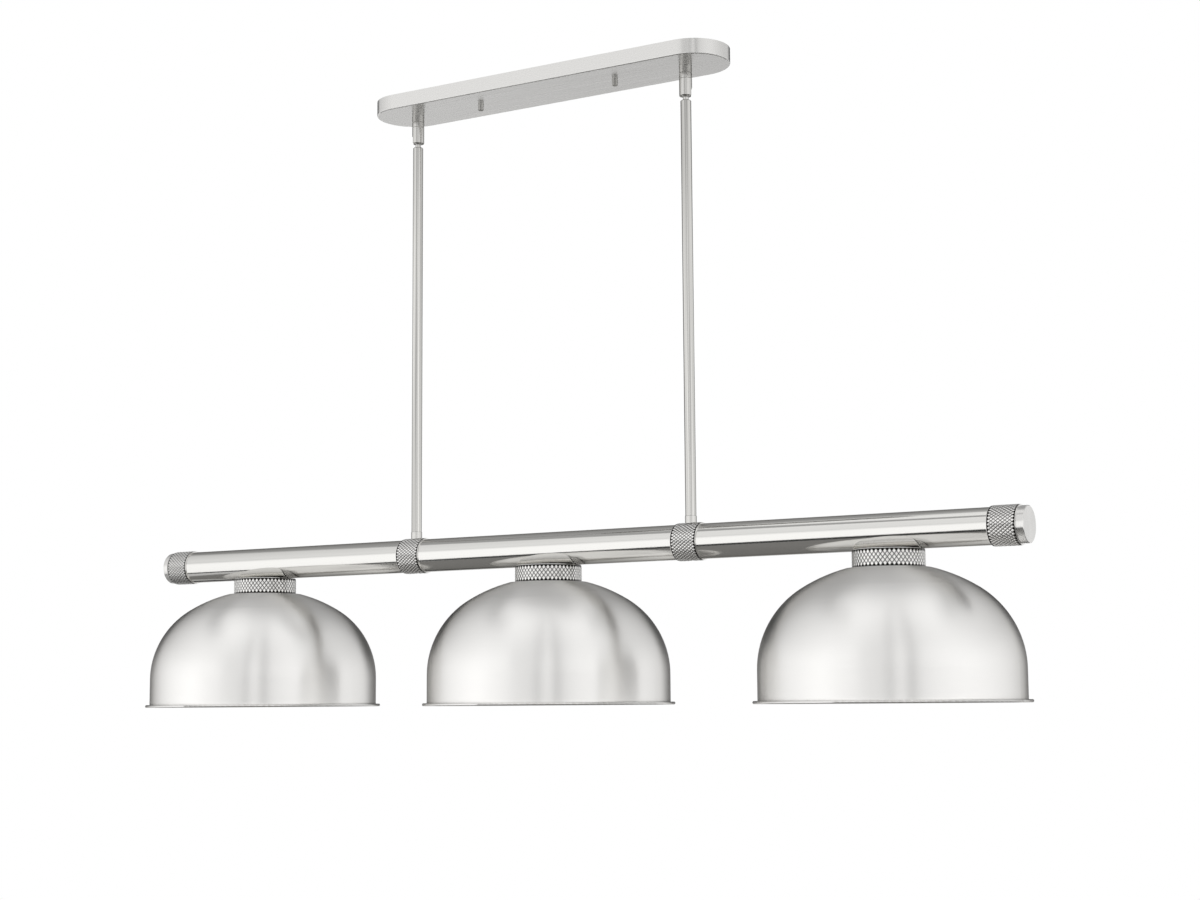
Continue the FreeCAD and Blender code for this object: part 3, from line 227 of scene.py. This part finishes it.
def makeKnurledNickel():
    # diamond knurl rolled into the metal, then plated: bright points and duller grooves, the grooves'
    # darkness painted shade
    material, tree, shader = newMaterial("knurledNickel", knurled["colour"], Metallic=1.0)
    peak = addNode(tree, "ShaderNodeAttribute", attribute_name="peak")
    # painted shade: the lower a point sits in the grooves, the darker its colour
    tone = addNode(tree, "ShaderNodeValToRGB", {"Fac": peak.outputs["Fac"]}, stops=knurled["tones"])
    gloss = addNode(tree, "ShaderNodeMapRange", {
        "Value": peak.outputs["Fac"], "To Min": knurled["groove"], "To Max": knurled["point"]})
    plug(tree, shader, {"Base Color": tone.outputs["Color"], "Roughness": gloss.outputs["Result"]})
    return material


knurledNickel = makeKnurledNickel()
print("nickel finishes made")

# how the two tones of a grain meet, how much its gloss changes and how high it stands
grain = {"detail": 4.0, "from": 0.35, "to": 0.65, "glossSwing": 0.15, "bump": 0.1, "relief": 0.05 * mm}


def grained(name, colour, second, size, roughness, **fixed):
    # two close tones in a grain of the given size, with a little change of gloss
    material, tree, shader = newMaterial(name, colour, Roughness=roughness, **fixed)
    place = addNode(tree, "ShaderNodeTexCoord")
    noise = addNode(tree, "ShaderNodeTexNoise", {
        "Vector": place.outputs["Object"], "Scale": 1 / size, "Detail": grain["detail"]})
    tone = addNode(tree, "ShaderNodeValToRGB", {"Fac": noise.outputs["Fac"]},
                   stops=[(grain["from"], colour), (grain["to"], second)])
    gloss = addNode(tree, "ShaderNodeMapRange", {
        "Value": noise.outputs["Fac"], "To Min": roughness * (1 - grain["glossSwing"]),
        "To Max": roughness * (1 + grain["glossSwing"])})
    relief = addNode(tree, "ShaderNodeBump", {
        "Height": noise.outputs["Fac"], "Strength": grain["bump"], "Distance": grain["relief"]})
    plug(tree, shader, {"Base Color": tone.outputs["Color"], "Roughness": gloss.outputs["Result"],
                        "Normal": relief.outputs["Normal"]})
    return material


# zinc plated steel: cool grey with faint spangles
zincSteel = grained("zincPlatedSteel", "#B9BCC0", "#D3D5D8", 2.5 * mm, 0.34, Metallic=1.0)
# passivated earth screw: green tinted zinc
greenSteel = grained("greenPassivatedSteel", "#3E8A4B", "#57A463", 2.0 * mm, 0.36, Metallic=0.7)
# glazed porcelain: near white, wet gloss, tiny specks
porcelain = grained("glazedPorcelain", "#EFEDE6", "#F5F3EE", 4.0 * mm, 0.12)
# rolled brass: warm yellow with a soft gloss
brass = grained("rolledBrass", "#D9B56A", "#E5C67F", 3.3333 * mm, 0.26, Metallic=1.0)
# drawn aluminium of a lamp base: pale and satin
lampBase = grained("drawnAluminium", "#D6D7D8", "#E6E6E7", 2.8571 * mm, 0.28, Metallic=1.0)
# lamp glass: smooth outside, white powder inside, so milky with a clear shine
lampGlass = grained("coatedLampGlass", "#F1F0EB", "#F6F5F1", 16.6667 * mm, 0.14,
                    Coat_Weight=0.4, Coat_Roughness=0.05)
# white vinyl sleeve round the wires: soft sheen
sleeve = grained("whiteVinylSleeve", "#E4E3DE", "#ECEBE7", 5.0 * mm, 0.45)
# black vinyl wire cover: the same sheen, nearly black
wireCover = grained("blackVinylCover", "#1D1D1E", "#282829", 5.0 * mm, 0.42)
# moulded nylon wire connectors: strong orange, half gloss
nylon = grained("orangeMouldedNylon", "#D9731F", "#E27F2C", 3.3333 * mm, 0.38)

finishes = {
    "mounting_strap": zincSteel, "strap_studs": zincSteel, "ground_screw": greenSteel, "canopy": canopyNickel,
    "canopy_nipples": zincSteel, "canopy_washers": zincSteel, "canopy_nuts": zincSteel,
    "swivel_clips": zincSteel, "canopy_leads": wireCover, "wire_connectors": nylon, "rod_nipples": zincSteel,
    "rod_nuts": zincSteel, "rod_saddle_washers": zincSteel, "bar_tube": barNickel, "head_nipples": zincSteel,
    "head_nuts": zincSteel, "head_saddle_washers": zincSteel, "shade_washers": zincSteel,
    "shade_nuts": zincSteel, "screw_shells": brass, "centre_contacts": brass, "bar_leads": sleeve,
    "bar_splice": nylon, "rod_lead": sleeve,
}
for side in sides:
    for word in ("swivel_ring_", "swivel_barrel_", "ball_stud_", "rod_ferrule_", "cap_nut_"):
        finishes[word + side] = turnedNickel[side]
    for word in ("rod_collar_", "end_collar_"):
        finishes[word + side] = knurledNickel
    finishes["rod_" + side] = rodNickel
    finishes["end_cap_" + side] = capNickel
for head in heads:
    for word in ("shade_", "socket_husk_"):
        finishes[word + head] = spunNickel[head]
    finishes["shade_holder_" + head] = knurledNickel
    finishes["socket_insulator_" + head] = porcelain
    finishes["bulb_globe_" + head] = lampGlass
    finishes["bulb_base_" + head] = lampBase
for name, material in finishes.items():
    for slot in nodes[name].material_slots:
        slot.material = material
print("frame dressed:", len(finishes), "nodes")


def startPiece():
    # object mode with nothing selected, so that operators act on the new piece alone
    if bpy.context.object and bpy.context.object.mode != "OBJECT":
        bpy.ops.object.mode_set(mode="OBJECT")
    bpy.ops.object.select_all(action="DESELECT")


def pick(piece, kind, test):
    # in edit mode: selects the verts, edges or faces that pass the test
    bpy.ops.mesh.select_all(action="DESELECT")
    bpy.ops.mesh.select_mode(type={"verts": "VERT", "edges": "EDGE", "faces": "FACE"}[kind])
    mesh = bmesh.from_edit_mesh(piece.data)
    mesh.normal_update()
    for item in getattr(mesh, kind):
        if test(item):
            item.select_set(True)
    mesh.select_flush_mode()
    bmesh.update_edit_mesh(piece.data)


def finishPiece(piece, name, material, body, replaced, smooth):
    # place into the mesh, name, finish and body
    startPiece()
    piece.select_set(True)
    bpy.context.view_layer.objects.active = piece
    bpy.ops.object.transform_apply(location=True, rotation=True, scale=True)
    bpy.ops.object.shade_smooth_by_angle(angle=math.radians(smooth))
    piece.name = name
    piece.data.name = name
    piece.data.materials.clear()
    piece.data.materials.append(material)
    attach(piece, body)
    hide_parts(*replaced)


def ringStack(rings, columns, base, along):
    # a closed tube of rings, each (radius, distance along the axis), the last joined to the first
    startPiece()
    turn = (0, math.pi / 2, 0) if along.x else (0, 0, 0)
    radius, reach = rings[0]
    bpy.ops.mesh.primitive_circle_add(vertices=columns, radius=radius, location=base + along * reach,
                                      rotation=turn)
    piece = bpy.context.object
    bpy.ops.object.transform_apply(location=True, rotation=True, scale=True)
    bpy.ops.object.mode_set(mode="EDIT")
    bpy.ops.mesh.select_mode(type="VERT")
    bpy.ops.mesh.select_all(action="SELECT")
    for nextRadius, nextReach in rings[1:]:
        step = along * (nextReach - reach)
        bpy.ops.mesh.extrude_region_move(TRANSFORM_OT_translate={"value": step})
        if nextRadius != radius:
            grow = nextRadius / radius
            bpy.ops.transform.resize(value=(grow, grow, grow), center_override=base + along * nextReach)
        radius, reach = nextRadius, nextReach
    first = base + along * rings[0][1]
    last = base + along * reach

    def onEnd(place):
        for middle, wanted in ((first, rings[0][0]), (last, radius)):
            offset = place - middle
            if abs(offset.dot(along)) < tiny and abs(offset.length - wanted) < tiny:
                return True
        return False

    pick(piece, "verts", lambda vertex: onEnd(vertex.co))
    bpy.ops.mesh.bridge_edge_loops()
    bpy.ops.mesh.select_all(action="SELECT")
    bpy.ops.mesh.normals_make_consistent(inside=False)
    return piece


# pitch round and along, from point to point, and how far the points stand out of the grooves;
# plain is the height given to metal without knurl, smooth the angle in degrees up to which edges are
# smoothed, slack and lean are what may be off in finding the band and its straight edges;
# a real knurl of this kind is about 2.4 by 4 mm, drawn coarser so that its diamonds show
knurl = {"pitchRound": 4.6 * mm, "pitchAlong": 6.2 * mm, "depth": 0.6 * mm, "plain": 0.6, "smooth": 14,
         "slack": 0.1 * mm, "lean": 0.01}


def rollKnurl(piece, start, end, base, along, radius):
    # squares of the band poked and their straight edges dissolved leave diamonds, which are poked outwards
    low = radius - knurl["depth"] - knurl["slack"]

    def inBand(points):
        for point in points:
            offset = point - base
            reach = offset.dot(along)
            if not start - tiny < reach < end + tiny or (offset - along * reach).length < low:
                return False
        return True

    def isStraight(edge):
        ends = [vertex.co for vertex in edge.verts]
        if not inBand(ends) or any(not inBand([v.co for v in face.verts]) for face in edge.link_faces):
            return False
        lean = abs((ends[1] - ends[0]).normalized().dot(along))
        return lean < knurl["lean"] or lean > 1 - knurl["lean"]

    pick(piece, "faces", lambda face: inBand([vertex.co for vertex in face.verts]))
    bpy.ops.mesh.poke()
    pick(piece, "edges", isStraight)
    bpy.ops.mesh.dissolve_edges(use_verts=False)
    pick(piece, "faces", lambda face: len(face.verts) == 4 and inBand([vertex.co for vertex in face.verts]))
    bpy.ops.mesh.poke(offset=knurl["depth"])
    bpy.ops.object.mode_set(mode="OBJECT")


def markPeaks(piece, base, along, radius):
    # how far each point stands out of the grooves, from 0 to 1, for the finish and the painted shade in its
    # grooves
    values = piece.data.attributes.new("peak", "FLOAT", "POINT").data
    for vertex in piece.data.vertices:
        offset = vertex.co - base
        height = (offset - along * offset.dot(along)).length - radius + knurl["depth"]
        knurledHere = height > -knurl["slack"]
        values[vertex.index].value = max(0.0, height / knurl["depth"]) if knurledHere else knurl["plain"]


def cutAway(piece, **size):
    # a round bar taken out of the piece
    startPiece()
    bpy.ops.mesh.primitive_cylinder_add(**size)
    tool = bpy.context.object
    cut = piece.modifiers.new("cut", "BOOLEAN")
    cut.operation = "DIFFERENCE"
    cut.object = tool
    cut.solver = "EXACT"
    startPiece()
    bpy.context.view_layer.objects.active = piece
    piece.select_set(True)
    bpy.ops.object.modifier_apply(modifier=cut.name)
    bpy.data.objects.remove(tool)


# edge is the chamfer at both ends, drill the length of the tool that cuts the nipple's hole
collar = {"edge": 0.8 * mm, "bore": 24.05 * mm, "nippleHole": 5.05 * mm, "drill": 80 * mm, "drillSides": 48}


def makeCollar(node, holeX=None):
    # a rod collar has a hole for the rod's nipple at holeX, an end collar has none
    low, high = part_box(node)
    radius = (high.z - low.z) / 2
    base = Vector((low.x, 0, barZ))
    width = high.x - low.x
    edge = collar["edge"]
    columns = round(2 * math.pi * radius / knurl["pitchRound"])
    rows = round((width - 2 * edge) / knurl["pitchAlong"])
    rings = [(collar["bore"], 0.0), (radius - edge, 0.0)]
    rings += [(radius - knurl["depth"], edge + (width - 2 * edge) * row / rows) for row in range(rows + 1)]
    rings += [(radius - edge, width), (collar["bore"], width)]
    piece = ringStack(rings, columns, base, lengthwise)
    rollKnurl(piece, edge, width - edge, base, lengthwise, radius)
    if holeX is not None:
        cutAway(piece, vertices=collar["drillSides"], radius=collar["nippleHole"], depth=collar["drill"],
                location=(holeX, 0, barZ))
    markPeaks(piece, base, lengthwise, radius)
    finishPiece(piece, node + "_knurled", knurledNickel, "lamp", [node], knurl["smooth"])


for side in sides:
    makeCollar("rod_collar_" + side, sides[side] * rodX)
    makeCollar("end_collar_" + side)
print("collars knurled")

# edge and foot are the chamfers, lap the saddle's depth, saddle the length of the tool that cuts it;
# the knurl is drawn coarser still than on the collars, whose pitch would blur to grey here
holder = {"edge": 1.0 * mm, "foot": 0.6 * mm, "wall": 3.0 * mm, "roof": 4.4 * mm, "hole": 5.05 * mm,
          "lap": 0.6 * mm, "saddle": 120 * mm, "saddleSides": 160,
          "pitchRound": 5.9 * mm, "pitchAlong": 7.3 * mm}


def makeHolder(head):
    node = "shade_holder_" + head
    x = heads[head] * spacing
    low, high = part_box(node)
    radius = (high.x - low.x) / 2
    base = Vector((x, 0, low.z))
    height = high.z - low.z
    start, end = holder["foot"], height - holder["edge"]
    columns = round(2 * math.pi * radius / holder["pitchRound"])
    rows = round((end - start) / holder["pitchAlong"])
    inner = radius - holder["wall"]
    under = height - holder["roof"] - holder["lap"]
    rings = [(holder["hole"], under), (inner, under), (inner, 0.0), (radius - holder["foot"], 0.0)]
    rings += [(radius - knurl["depth"], start + (end - start) * row / rows) for row in range(rows + 1)]
    rings += [(radius - holder["edge"], height), (holder["hole"], height)]
    piece = ringStack(rings, columns, base, upright)
    rollKnurl(piece, start, end, base, upright, radius)
    cutAway(piece, vertices=holder["saddleSides"], radius=barRadius, depth=holder["saddle"],
            location=(x, 0, barZ), rotation=(0, math.pi / 2, 0))
    markPeaks(piece, base, upright, radius)
    finishPiece(piece, node + "_knurled", knurledNickel, "lamp", [node], knurl["smooth"])


for head in heads:
    makeHolder(head)
print("holders knurled")

studio = {
    # level directions from the light to the camera, and to the camera's right
    "toCamera": (0.537, -0.843, 0.0), "toRight": (0.843, 0.537, 0.0),
    "strength": 1.4,
    "floorZ": -2.05, "floorSize": 4.0, "floorSides": 128,
    "floor": "#CDCBC8", "floorMirrored": "#8A8987", "floorGlow": 0.5,
    "lampZ": 2.5, "lampSize": 3.0, "lampPower": 35.0,   # metres and watts
    # how bright the walls are, by degrees turned from the camera towards its right
    "walls": [(-180, 0.5), (-160, 0.38), (-150, 0.46), (-136, 0.86), (-118, 0.98), (-100, 1.08), (-84, 1.17),
              (-70, 1.26), (-56, 1.24), (-42, 1.22), (-26, 1.16), (-15, 1.1), (-12.5, 0.68), (-7.5, 0.68),
              (-5.5, 1.24), (-1, 1.24), (3.5, 1.1), (5.5, 0.58), (9.5, 0.58), (12, 1.06), (26, 1.16),
              (42, 1.24), (56, 1.24), (72, 1.14), (86, 1.06), (102, 0.98), (118, 0.92), (134, 0.92),
              (144, 0.62), (152, 0.42), (162, 0.38), (180, 0.5)],
    # flags that stand just above the shades' level and show as dark lines in rods and swivels
    "flags": [(-180, 0.4), (-164, 0.1), (-150, 0.15), (-134, 1.0), (-40, 1.0), (-34, 0.6), (-21, 0.6),
              (-14, 1.0), (134, 1.0), (146, 0.15), (162, 0.05), (170, 0.4)],
    # the light over the dark belt of the ceiling
    "overhead": [(-180, 0.48), (-146, 0.52), (-130, 0.98), (-70, 1.05), (70, 1.05), (124, 0.85), (146, 0.5),
                 (180, 0.48)],
    # heights at which the belt begins and the skirting ends, where 1 is straight up
    "beltEdge": [(-180, 0.34), (-152, 0.4), (-136, 0.72), (-118, 0.765), (-66, 0.765), (-50, 1.0), (50, 1.0),
                 (66, 0.78), (118, 0.76), (136, 0.68), (152, 0.4), (180, 0.34)],
    "skirtEdge": [(-180, -0.38), (-120, -0.44), (-80, -0.5), (-65, -0.38), (-50, -0.3), (50, -0.3),
                  (80, -0.38), (180, -0.38)],
    # brightness by height, where the lower softbox ends and the upper one begins
    "rise": [(-1.0, 1.0), (0.22, 1.0), (0.28, 0.85), (0.34, 0.85), (0.36, 0.66), (0.39, 0.66), (0.41, 0.76),
             (0.7, 0.76), (0.85, 0.9), (1.0, 0.9)],
    # plain areas: the ceiling's belt, straight up, the wall behind the light, the skirting, under it
    "belt": 0.42, "zenith": 0.72, "behind": 1.06, "skirt": 0.05, "below": 0.6,
    # where each area begins and is full: by height, by height over an edge, or by how far it lies ahead
    "masks": {"flagRise": ("height", 0.10, 0.14), "flagFall": ("height", 0.345, 0.325),
              "zenith": ("height", 0.95, 1.0), "overhead": ("height", 0.855, 0.885),
              "belt": ("beltEdge", 0.0, 0.03), "behindTurn": ("ahead", -0.6, -0.75),
              "behindRise": ("height", -0.12, -0.18), "skirt": ("skirtEdge", 0.0, -0.03),
              "below": ("height", -0.57, -0.59)},
}


def makeWorld():
    # a bright room with a darker ceiling, dark flags and a thin dark skirting, which the metal shows
    world = bpy.data.worlds.new("studio")
    bpy.context.scene.world = world
    world.use_nodes = True
    tree = world.node_tree
    tree.nodes.clear()
    top = studio["strength"]
    way = addNode(tree, "ShaderNodeTexCoord").outputs["Generated"]
    height = addNode(tree, "ShaderNodeSeparateXYZ", {"Vector": way}).outputs["Z"]
    ahead, aside = [addNode(tree, "ShaderNodeVectorMath", {0: way, 1: studio[word]},
                            operation="DOT_PRODUCT").outputs["Value"] for word in ("toCamera", "toRight")]
    angle = addNode(tree, "ShaderNodeMath", {0: aside, 1: ahead}, operation="ARCTAN2")
    turn = addNode(tree, "ShaderNodeMapRange", {
        "Value": angle.outputs["Value"], "From Min": -math.pi, "From Max": math.pi})
    rise = addNode(tree, "ShaderNodeMapRange", {"Value": height, "From Min": -1.0, "From Max": 1.0})

    # each list of stops as a ramp, which holds 0 to 1, so (value + lift) / unit
    light = {word: [studio[word] / top] * 3 + [1.0]
             for word in ("belt", "zenith", "behind", "skirt", "below")}
    for word, along, start, span, lift, unit in (
            ("walls", turn, -180, 360, 0, top), ("flags", turn, -180, 360, 0, 1),
            ("overhead", turn, -180, 360, 0, top), ("beltEdge", turn, -180, 360, 1, 2),
            ("skirtEdge", turn, -180, 360, 1, 2), ("rise", rise, -1, 2, 0, 1)):
        stops = [((place - start) / span, (value + lift) / unit) for place, value in studio[word]]
        ramp = addNode(tree, "ShaderNodeValToRGB", {"Fac": along.outputs["Result"]}, stops=stops)
        light[word] = ramp.outputs["Color"]

    measures = {"height": height, "ahead": ahead}
    for word in ("beltEdge", "skirtEdge"):   # how far a direction is over the edge
        edge = addNode(tree, "ShaderNodeMapRange", {"Value": light[word], "To Min": -1.0, "To Max": 1.0})
        over = addNode(tree, "ShaderNodeMath", {0: height, 1: edge.outputs["Result"]}, operation="SUBTRACT")
        measures[word] = over.outputs["Value"]
    masks = {}
    for word, (measure, start, full) in studio["masks"].items():
        masks[word] = addNode(tree, "ShaderNodeMapRange", {
            "Value": measures[measure], "From Min": start, "From Max": full},
            interpolation_type="SMOOTHSTEP").outputs["Result"]
    for word, first, second in (("flags", "flagRise", "flagFall"), ("behind", "behindTurn", "behindRise")):
        both = addNode(tree, "ShaderNodeMath", {0: masks[first], 1: masks[second]}, operation="MULTIPLY")
        masks[word] = both.outputs["Value"]

    flagged = addNode(tree, "ShaderNodeMix", {"Factor": masks["flags"], 6: (1, 1, 1, 1), 7: light["flags"]},
                      data_type="RGBA")
    for layer in (flagged.outputs[2], light["rise"]):
        walls = addNode(tree, "ShaderNodeVectorMath", {0: light["walls"], 1: layer}, operation="MULTIPLY")
        light["walls"] = walls.outputs["Vector"]
    # one area laid over another by its mask, from the ceiling down
    for mask, under, over, result in (
            ("zenith", "overhead", "zenith", "dome"), ("overhead", "belt", "dome", "ceiling"),
            ("belt", "walls", "ceiling", "room"), ("behind", "room", "behind", "room"),
            ("skirt", "room", "skirt", "room"), ("below", "room", "below", "room")):
        laid = addNode(tree, "ShaderNodeMix", {"Factor": masks[mask], 6: light[under], 7: light[over]},
                       data_type="RGBA")
        light[result] = laid.outputs[2]

    # the camera, and what is seen through glass, gets plain white
    roomLight = addNode(tree, "ShaderNodeBackground", {"Color": light["room"], "Strength": top})
    white = addNode(tree, "ShaderNodeBackground", {"Color": (1, 1, 1, 1), "Strength": 1.0})
    ray = addNode(tree, "ShaderNodeLightPath")
    seen = addNode(tree, "ShaderNodeMath", {
        0: ray.outputs["Is Camera Ray"], 1: ray.outputs["Is Transmission Ray"]}, operation="MAXIMUM")
    shown = addNode(tree, "ShaderNodeMixShader", {
        0: seen.outputs["Value"], 1: roomLight.outputs[0], 2: white.outputs[0]})
    addNode(tree, "ShaderNodeOutputWorld", {"Surface": shown.outputs[0]})


def makeFloor():
    # a pale matt disc that glows a little for the camera and is darker in the metal
    startPiece()
    bpy.ops.mesh.primitive_circle_add(vertices=studio["floorSides"], radius=studio["floorSize"] / 2,
                                      fill_type="NGON", location=(0, 0, studio["floorZ"]))
    floor = bpy.context.object
    floor.name = "studio_floor"
    material = bpy.data.materials.new("paleStudioFloor")
    material.use_nodes = True
    tree = material.node_tree
    tree.nodes.clear()
    ray = addNode(tree, "ShaderNodeLightPath")
    tone = addNode(tree, "ShaderNodeMix", {
        "Factor": ray.outputs["Is Glossy Ray"], 6: linear(studio["floor"]),
        7: linear(studio["floorMirrored"])}, data_type="RGBA")
    matt = addNode(tree, "ShaderNodeBsdfDiffuse", {"Color": tone.outputs[2]})
    glow = addNode(tree, "ShaderNodeMath", {0: ray.outputs["Is Camera Ray"], 1: studio["floorGlow"]},
                   operation="MULTIPLY")
    lifted = addNode(tree, "ShaderNodeEmission", {"Color": (1, 1, 1, 1), "Strength": glow.outputs["Value"]})
    both = addNode(tree, "ShaderNodeAddShader", {0: matt.outputs[0], 1: lifted.outputs[0]})
    addNode(tree, "ShaderNodeOutputMaterial", {"Surface": both.outputs[0]})
    floor.data.materials.append(material)


def makeSoftbox():
    # a square of light above, which the metal doesn't show
    light = bpy.data.lights.new("softbox", "AREA")
    light.shape = "SQUARE"
    light.size = studio["lampSize"]
    light.energy = studio["lampPower"]
    softbox = bpy.data.objects.new("softbox", light)
    softbox.location = (0, 0, studio["lampZ"])
    softbox.visible_glossy = False
    bpy.context.scene.collection.objects.link(softbox)


# the photograph's viewing angle: metres and radians, lens and sensor in millimetres
view = {"place": (1.5684, -2.4587, -0.9060), "yaw": 0.5423, "pitch": 0.122, "roll": -0.0069, "lens": 61.67,
        "sensor": 36, "reach": 60}


def makeCamera():
    cameraData = bpy.data.cameras.new("camera")
    cameraData.sensor_width = view["sensor"]
    cameraData.lens = view["lens"]
    cameraData.clip_end = view["reach"]
    camera = bpy.data.objects.new("camera", cameraData)
    turn = (Matrix.Rotation(view["yaw"], 4, "Z") @ Matrix.Rotation(math.pi / 2 + view["pitch"], 4, "X")
            @ Matrix.Rotation(view["roll"], 4, "Z"))
    camera.matrix_world = Matrix.Translation(view["place"]) @ turn
    bpy.context.scene.collection.objects.link(camera)
    bpy.context.scene.camera = camera


makeWorld()
makeFloor()
makeSoftbox()
makeCamera()
bpy.context.scene.view_settings.view_transform = "Standard"
print("studio ready")

startPiece()
